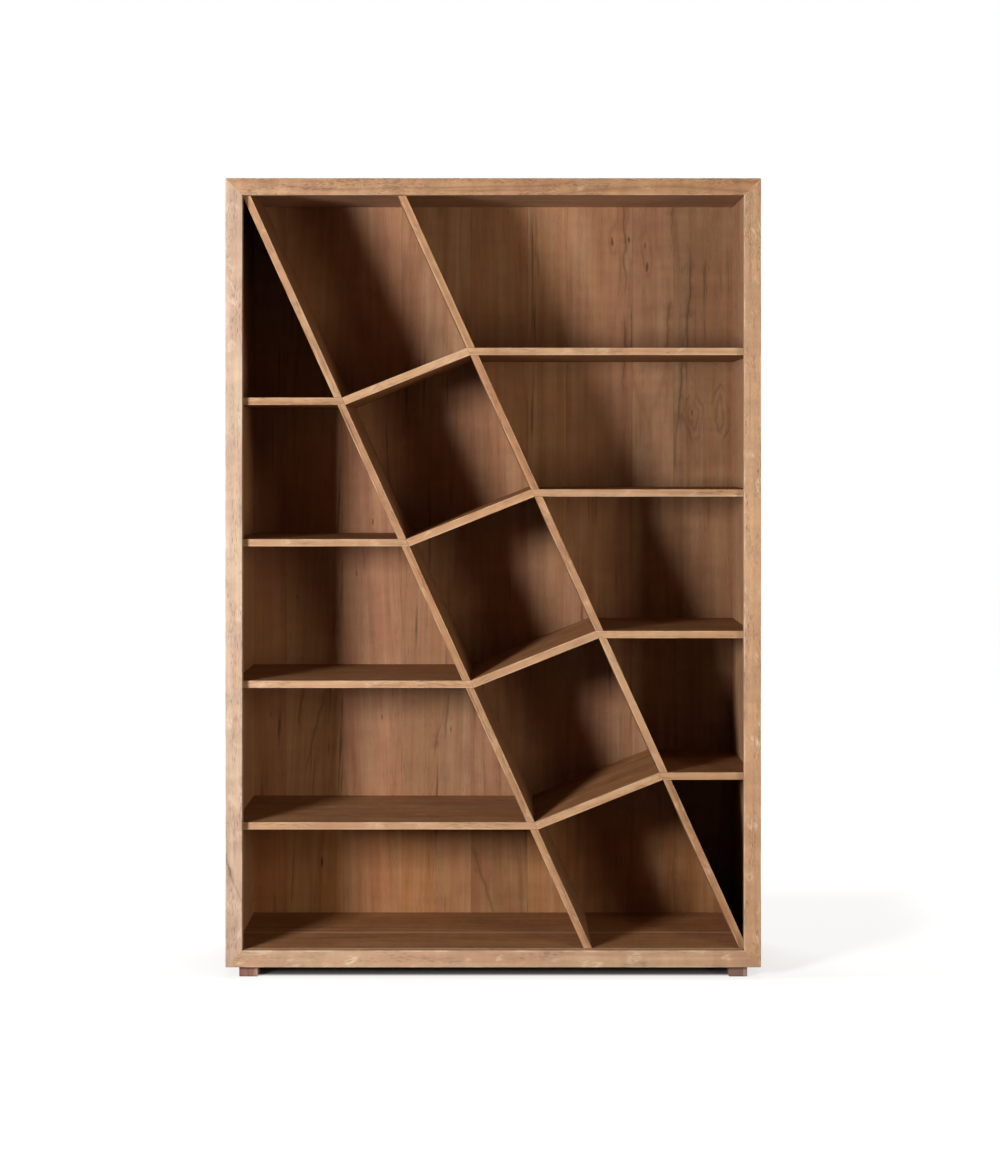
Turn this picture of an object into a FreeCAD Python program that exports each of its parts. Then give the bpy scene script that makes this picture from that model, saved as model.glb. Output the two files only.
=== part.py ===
"""Zigzag bookshelf: a face-framed carcass with two leaning dividers and four climbing shelves.

Millimetres, +Z up, the front towards -Y. The origin lies on the floor under the middle of the case.
"""
import FreeCAD, Part
import os
import Sketcher

# Driving sizes: alias, value, what it measures
SIZES = (
    ("case_width", "1200", "outside of the case, left to right"),
    ("case_height", "1768", "lower edge of the case to its top"),
    ("foot_lift", "26", "floor to the lower edge of the case"),
    ("carcass_depth", "360", "carcass behind the face frame, back included"),
    ("frame_width", "38", "face of the stiles and rails"),
    ("frame_thickness", "20", "face frame, front to back"),
    ("side_thickness", "20", "side boards"),
    ("top_thickness", "20", "top panel"),
    ("bottom_thickness", "20", "bottom panel"),
    ("shelf_thickness", "16.5", "level shelf boards"),
    ("divider_thickness", "16.5", "divider boards, square to their faces"),
    ("divider_spacing", "350", "from one divider to the other, measured level"),
    ("divider_corner_gap", "8", "divider to the side board at the corner where it ends"),
    ("lowest_bay_height", "267", "clear height under the lowest left shelf"),
    ("highest_bay_height", "471", "clear height over the highest left shelf"),
    ("shelf_climb", "112", "rise from a left shelf to the right shelf of its level"),
    ("housing_depth", "6", "groove in the sides for a shelf end"),
    ("back_thickness", "12", "back boards"),
    ("back_lap", "10", "how far the back laps into the sides and the top panel"),
    ("back_gap", "0.5", "room round the back boards in their rebate"),
    ("tongue_length", "5", "tongue of a back board"),
    ("tongue_thickness", "4", "tongue of a back board, front to back"),
    ("tongue_gap", "0.3", "room round a tongue in its groove"),
    ("divider_dowel_diameter", "8", "dowels along the dividers"),
    ("divider_dowel_bite", "20", "dowel length inside a divider"),
    ("panel_dowel_bite", "12", "dowel length inside the top or bottom panel"),
    ("dowel_edge_inset", "50", "outer dowels to the front and back edges of a board"),
    ("shelf_dowel_diameter", "6", "dowels between level and climbing boards"),
    ("shelf_dowel_bite", "10", "dowel length inside each of the two boards"),
    ("frame_dowel_diameter", "6", "dowels behind the face frame"),
    ("frame_dowel_bite", "12", "dowel length inside the face frame"),
    ("frame_dowel_hold", "18", "dowel length inside the carcass"),
    ("biscuit_length", "26", "biscuit along a mitre of the face frame"),
    ("biscuit_width", "20", "biscuit across that mitre"),
    ("biscuit_thickness", "4", "biscuit, front to back"),
    ("spline_width", "14", "spline across a mitred carcass corner"),
    ("spline_thickness", "4", "spline along that mitre"),
    ("spline_end_gap", "15", "spline end to the front edge and to the back board"),
    ("back_screw_length", "30", "screws through the back boards"),
    ("back_screw_diameter", "3.5", "shank"),
    ("back_screw_head", "7", "countersunk head"),
    ("back_screw_tip", "5", "pointed end"),
    ("foot_width", "42", "block foot, both ways"),
    ("foot_side_inset", "28.5", "outside of the case to a foot"),
    ("foot_chamfer", "2", "lower edges of a foot"),
    ("foot_screw_sink", "16", "depth of the screw head inside a foot"),
    ("foot_screw_bite", "16", "screw length inside the bottom panel"),
    ("foot_screw_diameter", "4.5", "shank"),
    ("foot_screw_head", "9", "countersunk head, and its hole in the foot"),
    ("foot_screw_tip", "5", "pointed end"),
    ("cut_overrun", "5", "how far a cut runs past the wood"),
)

# Places that follow from the driving sizes: alias, formula, what it is
LAYOUT = (
    ("half_width", "=sizes.case_width / 2", "outer face of the right side"),
    ("inner_side", "=half_width - sizes.side_thickness", "inner face of the right side"),
    ("housing_side", "=inner_side + sizes.housing_depth", "bottom of its shelf grooves"),
    ("frame_inner", "=half_width - sizes.frame_width", "inner edge of the right stile"),
    ("case_top", "=sizes.foot_lift + sizes.case_height", "top of the case"),
    ("bay_top", "=case_top - sizes.top_thickness", "underside of the top panel"),
    ("bay_floor", "=sizes.foot_lift + sizes.frame_width", "top of the bottom panel, level with its rail"),
    ("panel_under", "=bay_floor - sizes.bottom_thickness", "underside of the bottom panel"),
    ("bay_height", "=bay_top - bay_floor", "clear height of the carcass"),
    ("front", "=-(sizes.carcass_depth + sizes.frame_thickness) / 2", "front of the face frame"),
    ("carcass_front", "=front + sizes.frame_thickness", "back of the face frame, front of the boards"),
    ("rear", "=carcass_front + sizes.carcass_depth", "rear edge of the sides"),
    ("back_face", "=rear - sizes.back_thickness", "front of the back boards, rear edge of the shelves"),
    ("dowel_front", "=carcass_front + sizes.dowel_edge_inset", "front row of dowels"),
    ("dowel_middle", "=(carcass_front + back_face) / 2", "middle row of dowels"),
    ("dowel_rear", "=back_face - sizes.dowel_edge_inset", "rear row of dowels"),
    ("divider_spread", "=2 * inner_side - 2 * sizes.divider_corner_gap - sizes.divider_spacing",
     "level distance that a divider and its own thickness cover"),
    ("divider_corner", "=hypot(divider_spread; bay_height)", "corner to corner of that spread"),
    ("lean", "=acos(sizes.divider_thickness / divider_corner) - atan(bay_height / divider_spread)",
     "dividers, from upright"),
    ("slope", "=tan(lean)", "level travel of a divider for each millimetre down"),
    ("half_divider", "=sizes.divider_thickness / cos(lean) / 2", "half of a divider, measured level"),
    ("left_axis", "=-inner_side + sizes.divider_corner_gap + half_divider",
     "left divider at the top panel"),
    ("right_axis", "=left_axis + sizes.divider_spacing", "right divider at the top panel"),
    ("climb_run", "=sizes.divider_spacing - sizes.shelf_climb * slope - 2 * half_divider",
     "level length of a climbing board"),
    ("tilt", "=atan(sizes.shelf_climb / climb_run)", "climbing boards, from level"),
    ("lowest_shelf", "=bay_floor + sizes.lowest_bay_height + sizes.shelf_thickness / 2",
     "middle of the lowest left shelf"),
    ("highest_shelf", "=bay_top - sizes.highest_bay_height - sizes.shelf_thickness / 2",
     "middle of the highest left shelf"),
    ("back_side", "=inner_side + sizes.back_lap - sizes.back_gap", "right edge of the back"),
    ("back_top", "=bay_top + sizes.back_lap - sizes.back_gap", "upper end of the back boards"),
    ("tongue_front", "=(back_face + rear - sizes.tongue_thickness) / 2", "front face of the tongues"),
    ("tongue_rear", "=tongue_front + sizes.tongue_thickness", "rear face of the tongues"),
    ("mitre_turn", "=atan(sizes.top_thickness / sizes.side_thickness)", "mitre of the carcass, from level"),
    ("foot_outer", "=half_width - sizes.foot_side_inset", "outer face of the right feet"),
    ("foot_inner", "=foot_outer - sizes.foot_width", "inner face of the right feet"),
)

SHELF_LEVELS = 4
SIGNS = {"left": -1, "right": 1}

# Widths of the back boards from left to right, as parts of the whole back
BACK_BOARD_SHARES = (0.074, 0.117, 0.121, 0.142, 0.116, 0.080, 0.136, 0.085, 0.129)
# Two screws at each end of a back board, across its width
BACK_SCREW_SHARES = (0.25, 0.75)
# Dowels along a stile and along a rail of the face frame
STILE_DOWEL_SHARES = (0.1, 0.3, 0.5, 0.7, 0.9)
RAIL_DOWEL_SHARES = (0.14, 0.38, 0.62, 0.86)
# Place of a corner spline on its mitre, from the inner corner
SPLINE_SHARE = 0.42
# Two screws in each foot, side by side
FOOT_SCREW_SHARES = (0.3, 0.7)
# Cross recess of a screw, as parts of its head diameter
RECESS_LENGTH_SHARE = 0.6
RECESS_WIDTH_SHARE = 0.14
RECESS_DEPTH_SHARE = 0.16

doc = FreeCAD.newDocument("zigzag_bookshelf")
pieces = []


def make_sheet(name, rows):
    """A spreadsheet whose second column holds the contents under their aliases."""
    sheet = doc.addObject("Spreadsheet::Sheet", name)
    for row, (alias, content, note) in enumerate(rows, start=1):
        sheet.set(f"A{row}", alias)
        sheet.set(f"B{row}", content)
        sheet.setAlias(f"B{row}", alias)
        sheet.set(f"C{row}", note)
    doc.recompute()
    return sheet


sizes = make_sheet("sizes", SIZES)
make_sheet("layout", LAYOUT)


def value(expression):
    """The number that an expression of sheet values gives now."""
    return float(sizes.evalExpression(expression))


def vector_text(point):
    """A point of three expressions, written as one vector expression."""
    return "vector({}; {}; {})".format(*point)


def origin_plane(body, role):
    """One of a body's own origin planes."""
    return next(plane for plane in body.Origin.OriginFeatures if plane.Role == role)


def outline_sketch(body, name, role, corners, offset):
    """A closed outline on an origin plane, every corner held by two bound dimensions."""
    sketch = body.newObject("Sketcher::SketchObject", name)
    sketch.AttachmentSupport = [(origin_plane(body, role), "")]
    sketch.MapMode = "FlatFace"
    sketch.setExpression(".AttachmentOffset.Base.z", offset)
    points = [FreeCAD.Vector(value(across), value(along), 0) for across, along in corners]
    last = len(points) - 1
    for index, point in enumerate(points):
        following = points[0] if index == last else points[index + 1]
        sketch.addGeometry(Part.LineSegment(point, following))
    for index in range(len(points)):
        following = 0 if index == last else index + 1
        sketch.addConstraint(Sketcher.Constraint("Coincident", index, 2, following, 1))
    for index, (across, along) in enumerate(corners):
        for kind, expression in (("DistanceX", across), ("DistanceY", along)):
            held = Sketcher.Constraint(kind, -1, 1, index, 1, value(expression))
            number = sketch.addConstraint(held)
            sketch.setExpression(f"Constraints[{number}]", expression)
    return sketch


def front_board(name, corners, start, end):
    """A body drawn as seen from the front and padded from one depth back to another."""
    body = doc.addObject("PartDesign::Body", name)
    sketch = outline_sketch(body, name + "_outline", "XZ_Plane", corners, f"-({start})")
    pad = body.newObject("PartDesign::Pad", name + "_pad")
    pad.Profile = sketch
    pad.Reversed = True
    pad.setExpression("Length", f"({end}) - ({start})")
    return body


def upright_board(name, corners, start, end):
    """A body drawn as seen from above and padded from one height up to another."""
    body = doc.addObject("PartDesign::Body", name)
    sketch = outline_sketch(body, name + "_outline", "XY_Plane", corners, start)
    pad = body.newObject("PartDesign::Pad", name + "_pad")
    pad.Profile = sketch
    pad.setExpression("Length", f"({end}) - ({start})")
    return body


def box(name, low, high):
    """A square-cut block between two corners."""
    block = doc.addObject("Part::Box", name)
    for side, start, end in zip(("Length", "Width", "Height"), low, high):
        block.setExpression(side, f"({end}) - ({start})")
    block.setExpression("Placement", f"placement({vector_text(low)}; rotation(vector(0; 0; 1); 0))")
    return block


def turned_box(name, centre, lengths, turn):
    """A block about its centre, turned about the Y axis."""
    block = doc.addObject("Part::Box", name)
    for side, length in zip(("Length", "Width", "Height"), lengths):
        block.setExpression(side, length)
    half_x, half_y, half_z = (f"({length}) / 2" for length in lengths)
    corner = (
        f"({centre[0]}) - {half_x} * cos({turn}) - {half_z} * sin({turn})",
        f"({centre[1]}) - {half_y}",
        f"({centre[2]}) + {half_x} * sin({turn}) - {half_z} * cos({turn})",
    )
    block.setExpression("Placement", f"placement({vector_text(corner)}; rotation(vector(0; 1; 0); {turn}))")
    return block


def rod(name, diameter, length, start, axis, turn):
    """A round rod that stands on its start and is turned about an axis through it."""
    cylinder = doc.addObject("Part::Cylinder", name)
    cylinder.setExpression("Radius", f"{diameter} / 2")
    cylinder.setExpression("Height", length)
    cylinder.setExpression("Placement", f"placement({vector_text(start)}; rotation({axis}; {turn}))")
    return cylinder


def group(name, members):
    """Separate solids kept together."""
    compound = doc.addObject("Part::Compound", name)
    compound.Links = members
    return compound


def cut_board(name, blank, tools):
    """A finished piece: its blank less the grooves and holes cut into it."""
    cut = doc.addObject("Part::Cut", name)
    cut.Base = blank
    cut.Tool = group(name + "_cuts", tools)
    pieces.append(cut)
    return cut


def screw_pattern(name, kind, length):
    """A countersunk screw along +Z from its head, with and without its cross recess."""
    head = f"sizes.{kind}_head"
    shank = f"sizes.{kind}_diameter / 2"
    cone_height = f"({head} / 2 - {shank})"
    corners = (
        ("0", "0"),
        (f"{head} / 2", "0"),
        (shank, cone_height),
        (shank, f"{length} - sizes.{kind}_tip"),
        ("0", length),
    )
    body = doc.addObject("PartDesign::Body", name + "_turned")
    sketch = outline_sketch(body, name + "_outline", "XZ_Plane", corners, "0")
    turned = body.newObject("PartDesign::Revolution", name + "_revolution")
    turned.Profile = sketch
    turned.ReferenceAxis = (sketch, ["V_Axis"])
    reach = f"{head} * {RECESS_LENGTH_SHARE} / 2"
    half_slot = f"{head} * {RECESS_WIDTH_SHARE} / 2"
    depth = f"{head} * {RECESS_DEPTH_SHARE}"
    above = "-sizes.cut_overrun"
    slots = [
        box(name + "_slot_x", (f"-{reach}", f"-{half_slot}", above), (reach, half_slot, depth)),
        box(name + "_slot_y", (f"-{half_slot}", f"-{reach}", above), (half_slot, reach, depth)),
    ]
    screw = doc.addObject("Part::Cut", name)
    screw.Base = body
    screw.Tool = group(name + "_recess", slots)
    return body, screw


def placed_copy(name, pattern, start, axis, turn):
    """One more copy of a screw, its head at start."""
    copy = doc.addObject("App::Link", name)
    copy.LinkedObject = pattern
    copy.setExpression("Placement", f"placement({vector_text(start)}; rotation({axis}; {turn}))")
    return copy


# Where the slanted things are

def divider_axis(hand, height):
    """Level place of a divider's middle at a height."""
    return f"(layout.{hand}_axis + (layout.bay_top - ({height})) * layout.slope)"


def divider_face(hand, height):
    """Level place of the divider face that looks towards the other divider."""
    inward = {"left": "+", "right": "-"}[hand]
    return f"({divider_axis(hand, height)} {inward} layout.half_divider)"


def shelf_middle(hand, level):
    """Height of the middle of a level shelf board; level 1 is the highest."""
    steps = f"{level - 1} / {SHELF_LEVELS - 1}"
    left = f"(layout.highest_shelf - (layout.highest_shelf - layout.lowest_shelf) * {steps})"
    return left if hand == "left" else f"({left} + sizes.shelf_climb)"


def shelf_top(hand, level):
    """Height of the upper face of a level shelf board."""
    return f"({shelf_middle(hand, level)} + sizes.shelf_thickness / 2)"


def shelf_under(hand, level):
    """Height of the lower face of a level shelf board."""
    return f"({shelf_middle(hand, level)} - sizes.shelf_thickness / 2)"


DOWEL_ROWS = ("layout.dowel_front", "layout.dowel_middle", "layout.dowel_rear")
BETWEEN_ROWS = (
    "(layout.dowel_front + layout.dowel_middle) / 2",
    "(layout.dowel_middle + layout.dowel_rear) / 2",
)


# Fasteners come first, because the boards are cut to take them

def dowel_row(name, hand, height, below, above):
    """A row of dowels along a divider, reaching below and above a height on its axis."""
    row = []
    for number, depth in enumerate(DOWEL_ROWS, start=1):
        start = (
            f"{divider_axis(hand, height)} + sin(layout.lean) * ({below})",
            depth,
            f"({height}) - cos(layout.lean) * ({below})",
        )
        length = f"({below}) + ({above})"
        row.append(rod(f"{name}_{number}", "sizes.divider_dowel_diameter", length, start,
                       "vector(0; -1; 0)", "layout.lean"))
    return row


def divider_dowels(hand):
    """Rows of dowels from the top panel down to the bottom panel, one row at each joint."""
    bite = "sizes.divider_dowel_bite"
    through = f"sizes.shelf_thickness / cos(layout.lean) / 2 + {bite}"
    rows = [dowel_row(f"{hand}_top_dowel", hand, "layout.bay_top", bite, "sizes.panel_dowel_bite")]
    for level in range(1, SHELF_LEVELS + 1):
        name = f"{hand}_divider_dowel_{level}"
        rows.append(dowel_row(name, hand, shelf_middle(hand, level), through, through))
    name = f"{hand}_bottom_dowel"
    rows.append(dowel_row(name, hand, "layout.bay_floor", "sizes.panel_dowel_bite", bite))
    return rows


def shelf_dowels(hand, level):
    """Short dowels across the joint of a level board and its climbing board."""
    height = shelf_middle(hand, level)
    row = []
    for number, depth in enumerate(BETWEEN_ROWS, start=1):
        start = (
            f"{divider_face(hand, height)} - cos(layout.tilt / 2) * sizes.shelf_dowel_bite",
            depth,
            f"{height} - sin(layout.tilt / 2) * sizes.shelf_dowel_bite",
        )
        row.append(rod(f"{hand}_shelf_dowel_{level}_{number}", "sizes.shelf_dowel_diameter",
                       "2 * sizes.shelf_dowel_bite", start, "vector(0; 1; 0)", "90 deg - layout.tilt / 2"))
    return row


def frame_dowel(name, across, height):
    """A dowel from front to back, from the face frame into an edge of the carcass."""
    start = (across, "layout.carcass_front - sizes.frame_dowel_bite", height)
    length = "sizes.frame_dowel_bite + sizes.frame_dowel_hold"
    return rod(name, "sizes.frame_dowel_diameter", length, start, "vector(-1; 0; 0)", "90")


dowels = {hand: divider_dowels(hand) for hand in SIGNS}
joint_dowels = {}
for hand in SIGNS:
    for level in range(1, SHELF_LEVELS + 1):
        joint_dowels[hand, level] = shelf_dowels(hand, level)

stile_dowels = {}
for hand, sign in SIGNS.items():
    across = f"{sign} * (layout.half_width - (sizes.side_thickness - sizes.housing_depth) / 2)"
    stile_dowels[hand] = [
        frame_dowel(f"{hand}_stile_dowel_{number}", across, f"sizes.foot_lift + sizes.case_height * {share}")
        for number, share in enumerate(STILE_DOWEL_SHARES, start=1)
    ]

rail_heights = {
    "top": "layout.case_top - sizes.top_thickness / 2",
    "bottom": "layout.bay_floor - sizes.bottom_thickness / 2",
}
rail_dowels = {}
for end, height in rail_heights.items():
    rail_dowels[end] = [
        frame_dowel(f"{end}_rail_dowel_{number}", f"sizes.case_width * {share} - layout.half_width", height)
        for number, share in enumerate(RAIL_DOWEL_SHARES, start=1)
    ]

biscuits = {}
frame_middle = "layout.front + sizes.frame_thickness / 2"
corner_heights = {
    "top": "layout.case_top - sizes.frame_width / 2",
    "bottom": "sizes.foot_lift + sizes.frame_width / 2",
}
for hand, sign in SIGNS.items():
    for end, height in corner_heights.items():
        centre = (f"{sign} * (layout.half_width - sizes.frame_width / 2)", frame_middle, height)
        mitre_rises_right = (hand == "right") == (end == "top")
        turn = "-45" if mitre_rises_right else "45"
        lengths = ("sizes.biscuit_length", "sizes.biscuit_thickness", "sizes.biscuit_width")
        biscuits[hand, end] = turned_box(f"{end}_{hand}_biscuit", centre, lengths, turn)

splines = {}
for hand, sign in SIGNS.items():
    centre = (
        f"{sign} * (layout.inner_side + sizes.side_thickness * {SPLINE_SHARE})",
        "layout.dowel_middle",
        f"layout.bay_top + sizes.top_thickness * {SPLINE_SHARE}",
    )
    spline_length = "layout.back_face - layout.carcass_front - 2 * sizes.spline_end_gap"
    lengths = ("sizes.spline_thickness", spline_length, "sizes.spline_width")
    splines[hand] = turned_box(f"{hand}_spline", centre, lengths, f"{-sign} * layout.mitre_turn")

foot_screw_length = "(layout.panel_under - sizes.foot_screw_sink + sizes.foot_screw_bite)"
back_screw_blank, back_screw = screw_pattern("back_screw", "back_screw", "sizes.back_screw_length")
foot_screw_blank, foot_screw = screw_pattern("foot_screw", "foot_screw", foot_screw_length)

# The back: vertical boards, tongued and grooved, screwed on at both ends

back_heights = {
    "top": "(layout.bay_top + layout.back_top) / 2",
    "bottom": "layout.bay_floor - sizes.bottom_thickness / 2",
}
back_screws = []
back_screw_holes = {"top": [], "bottom": []}


def back_edge(count):
    """Level place of the right edge of the first boards of the back."""
    share = sum(BACK_BOARD_SHARES[:count]) / sum(BACK_BOARD_SHARES)
    return f"layout.back_side * {2 * share - 1}"


def back_board(number):
    """One board of the back: a groove on its left edge, a tongue on its right edge."""
    name = f"back_board_{number}"
    left = back_edge(number - 1)
    right = back_edge(number)
    corners = [(left, "layout.back_face"), (right, "layout.back_face")]
    if number < len(BACK_BOARD_SHARES):
        tip = f"{right} + sizes.tongue_length"
        corners += [
            (right, "layout.tongue_front"),
            (tip, "layout.tongue_front"),
            (tip, "layout.tongue_rear"),
            (right, "layout.tongue_rear"),
        ]
    corners += [(right, "layout.rear"), (left, "layout.rear")]
    if number > 1:
        groove_end = f"{left} + sizes.tongue_length + sizes.tongue_gap"
        corners += [
            (left, "layout.tongue_rear + sizes.tongue_gap"),
            (groove_end, "layout.tongue_rear + sizes.tongue_gap"),
            (groove_end, "layout.tongue_front - sizes.tongue_gap"),
            (left, "layout.tongue_front - sizes.tongue_gap"),
        ]
    blank = upright_board(name + "_blank", corners, "layout.panel_under", "layout.back_top")
    holes = []
    for end, height in back_heights.items():
        for place, share in enumerate(BACK_SCREW_SHARES, start=1):
            across = f"({left}) + (({right}) - ({left})) * {share}"
            head = (across, "layout.rear", height)
            stem = f"{name}_{end}_screw_{place}"
            back_screws.append(placed_copy(stem, back_screw, head, "vector(1; 0; 0)", "90"))
            hole = placed_copy(stem + "_hole", back_screw_blank, head, "vector(1; 0; 0)", "90")
            holes.append(hole)
            back_screw_holes[end].append(hole)
    cut_board(name, blank, holes)


for number in range(1, len(BACK_BOARD_SHARES) + 1):
    back_board(number)

# Feet: blocks under the bottom panel, each with two sunk screws

foot_screws = []
foot_screw_holes = []


def foot(end, hand, depth_low):
    """A block foot with chamfered lower edges."""
    name = f"{end}_{hand}_foot"
    low, high = "layout.foot_inner", "layout.foot_outer"
    if hand == "left":
        low, high = "-layout.foot_outer", "-layout.foot_inner"
    depth_high = f"({depth_low}) + sizes.foot_width"
    corners = ((low, depth_low), (high, depth_low), (high, depth_high), (low, depth_high))
    blank = upright_board(name + "_blank", corners, "0", "layout.panel_under")
    doc.recompute()
    pad = blank.Tip
    lower_edges = [
        f"Edge{index}" for index, edge in enumerate(pad.Shape.Edges, start=1)
        if edge.BoundBox.ZMax < value("sizes.foot_chamfer")
    ]
    chamfer = blank.newObject("PartDesign::Chamfer", name + "_chamfer")
    chamfer.Base = (pad, lower_edges)
    chamfer.setExpression("Size", "sizes.foot_chamfer")
    holes = []
    for place, share in enumerate(FOOT_SCREW_SHARES, start=1):
        across = f"({low}) + sizes.foot_width * {share}"
        depth = f"({depth_low}) + sizes.foot_width / 2"
        head = (across, depth, "sizes.foot_screw_sink")
        stem = f"{name}_screw_{place}"
        foot_screws.append(placed_copy(stem, foot_screw, head, "vector(0; 0; 1)", "0"))
        hole = placed_copy(stem + "_hole", foot_screw_blank, head, "vector(0; 0; 1)", "0")
        foot_screw_holes.append(hole)
        holes.append(hole)
        start = (across, depth, "-sizes.cut_overrun")
        sink_length = "sizes.foot_screw_sink + sizes.cut_overrun"
        sink = rod(stem + "_sink", "sizes.foot_screw_head", sink_length, start, "vector(0; 0; 1)", "0")
        holes.append(sink)
    cut_board(name, blank, holes)


for hand in SIGNS:
    foot("front", hand, "layout.carcass_front")
    foot("rear", hand, "layout.back_face - sizes.foot_width")

# Carcass: two sides and a top that meet in mitres, and a bottom panel housed in the sides


def side_housing(name, sign, under, thickness):
    """A groove across a side board for the end of a shelf or panel."""
    deep = f"{sign} * layout.housing_side"
    clear = f"{sign} * (layout.inner_side - sizes.cut_overrun)"
    low_x, high_x = (deep, clear) if sign < 0 else (clear, deep)
    low = (low_x, "layout.carcass_front - sizes.cut_overrun", under)
    high = (high_x, "layout.back_face + sizes.cut_overrun", f"({under}) + {thickness}")
    return box(name, low, high)


def side_board(hand, sign):
    """A side: mitred at the top, grooved for the shelves and rebated for the back."""
    name = f"{hand}_side"
    outer = f"{sign} * layout.half_width"
    inner = f"{sign} * layout.inner_side"
    corners = ((outer, "sizes.foot_lift"), (inner, "sizes.foot_lift"), (inner, "layout.bay_top"),
               (outer, "layout.case_top"))
    blank = front_board(name + "_blank", corners, "layout.carcass_front", "layout.rear")
    lap = f"{sign} * (layout.inner_side + sizes.back_lap)"
    clear = f"{sign} * (layout.inner_side - sizes.cut_overrun)"
    low_x, high_x = (lap, clear) if sign < 0 else (clear, lap)
    rebate_low = (low_x, "layout.back_face", "sizes.foot_lift - sizes.cut_overrun")
    rebate_high = (high_x, "layout.rear + sizes.cut_overrun", "layout.case_top")
    cuts = [
        box(name + "_rebate", rebate_low, rebate_high),
        side_housing(name + "_panel_housing", sign, "layout.panel_under", "sizes.bottom_thickness"),
        splines[hand],
    ]
    for level in range(1, SHELF_LEVELS + 1):
        under = shelf_under(hand, level)
        cuts.append(side_housing(f"{name}_housing_{level}", sign, under, "sizes.shelf_thickness"))
    cut_board(name, blank, cuts + stile_dowels[hand])


for hand, sign in SIGNS.items():
    side_board(hand, sign)

top_corners = (
    ("-layout.inner_side", "layout.bay_top"),
    ("layout.inner_side", "layout.bay_top"),
    ("layout.half_width", "layout.case_top"),
    ("-layout.half_width", "layout.case_top"),
)
top_blank = front_board("top_panel_blank", top_corners, "layout.carcass_front", "layout.rear")
top_rebate = box(
    "top_panel_rebate",
    ("-layout.half_width", "layout.back_face", "layout.bay_top - sizes.cut_overrun"),
    ("layout.half_width", "layout.rear + sizes.cut_overrun", "layout.bay_top + sizes.back_lap"),
)
top_cuts = [top_rebate, *splines.values(), *rail_dowels["top"], *back_screw_holes["top"]]
cut_board("top_panel", top_blank, top_cuts + dowels["left"][0] + dowels["right"][0])

bottom_corners = (
    ("-layout.housing_side", "layout.panel_under"),
    ("layout.housing_side", "layout.panel_under"),
    ("layout.housing_side", "layout.bay_floor"),
    ("-layout.housing_side", "layout.bay_floor"),
)
bottom_blank = front_board("bottom_panel_blank", bottom_corners, "layout.carcass_front", "layout.back_face")
bottom_cuts = [*rail_dowels["bottom"], *back_screw_holes["bottom"], *foot_screw_holes]
cut_board("bottom_panel", bottom_blank, bottom_cuts + dowels["left"][-1] + dowels["right"][-1])

# Face frame: two stiles and two rails, mitred, on the front edges of the carcass

for hand, sign in SIGNS.items():
    outer = f"{sign} * layout.half_width"
    inner = f"{sign} * layout.frame_inner"
    stile_corners = (
        (outer, "sizes.foot_lift"),
        (inner, "sizes.foot_lift + sizes.frame_width"),
        (inner, "layout.case_top - sizes.frame_width"),
        (outer, "layout.case_top"),
    )
    stile = front_board(f"frame_{hand}_stile_blank", stile_corners, "layout.front", "layout.carcass_front")
    stile_cuts = [biscuits[hand, "top"], biscuits[hand, "bottom"], *stile_dowels[hand]]
    cut_board(f"frame_{hand}_stile", stile, stile_cuts)

rail_edges = {
    "top": ("layout.case_top", "layout.case_top - sizes.frame_width"),
    "bottom": ("sizes.foot_lift", "sizes.foot_lift + sizes.frame_width"),
}
for end, (outer, inner) in rail_edges.items():
    rail_corners = (
        ("-layout.half_width", outer),
        ("layout.half_width", outer),
        ("layout.frame_inner", inner),
        ("-layout.frame_inner", inner),
    )
    rail = front_board(f"frame_{end}_rail_blank", rail_corners, "layout.front", "layout.carcass_front")
    rail_cuts = [biscuits["left", end], biscuits["right", end], *rail_dowels[end]]
    cut_board(f"frame_{end}_rail", rail, rail_cuts)

# Shelves: a level board, a climbing board and a level board on each level


def level_board(hand, sign, level):
    """A level shelf board, from its groove in the side to the inner face line of its divider."""
    name = f"shelf_{level}_{hand}"
    under, top = shelf_under(hand, level), shelf_top(hand, level)
    housed = f"{sign} * layout.housing_side"
    corners = (
        (housed, under),
        (divider_face(hand, under), under),
        (divider_face(hand, top), top),
        (housed, top),
    )
    blank = front_board(name + "_blank", corners, "layout.carcass_front", "layout.back_face")
    cut_board(name, blank, dowels[hand][level] + joint_dowels[hand, level])


def climbing_board(level):
    """The middle board of a shelf, from the end of the left board up to the end of the right one."""
    name = f"shelf_{level}_middle"
    corners = []
    for hand, heights in (("left", (shelf_top, shelf_under)), ("right", (shelf_under, shelf_top))):
        for height in heights:
            corners.append((divider_face(hand, height(hand, level)), height(hand, level)))
    blank = front_board(name + "_blank", corners, "layout.carcass_front", "layout.back_face")
    cut_board(name, blank, joint_dowels["left", level] + joint_dowels["right", level])


for level in range(1, SHELF_LEVELS + 1):
    level_board("left", SIGNS["left"], level)
    climbing_board(level)
    level_board("right", SIGNS["right"], level)

# Dividers: lengths that stand between the level boards of their own side


def divider_length(hand, number):
    """One length of a divider; number 1 hangs from the top panel."""
    name = f"{hand}_divider_{number}"
    high = "layout.bay_top" if number == 1 else shelf_under(hand, number - 1)
    low = "layout.bay_floor" if number > SHELF_LEVELS else shelf_top(hand, number)
    corners = (
        (f"{divider_axis(hand, low)} - layout.half_divider", low),
        (f"{divider_axis(hand, low)} + layout.half_divider", low),
        (f"{divider_axis(hand, high)} + layout.half_divider", high),
        (f"{divider_axis(hand, high)} - layout.half_divider", high),
    )
    blank = front_board(name + "_blank", corners, "layout.carcass_front", "layout.back_face")
    cut_board(name, blank, dowels[hand][number - 1] + dowels[hand][number])


for hand in SIGNS:
    for number in range(1, SHELF_LEVELS + 2):
        divider_length(hand, number)

# Fasteners, one group for each kind

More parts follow.
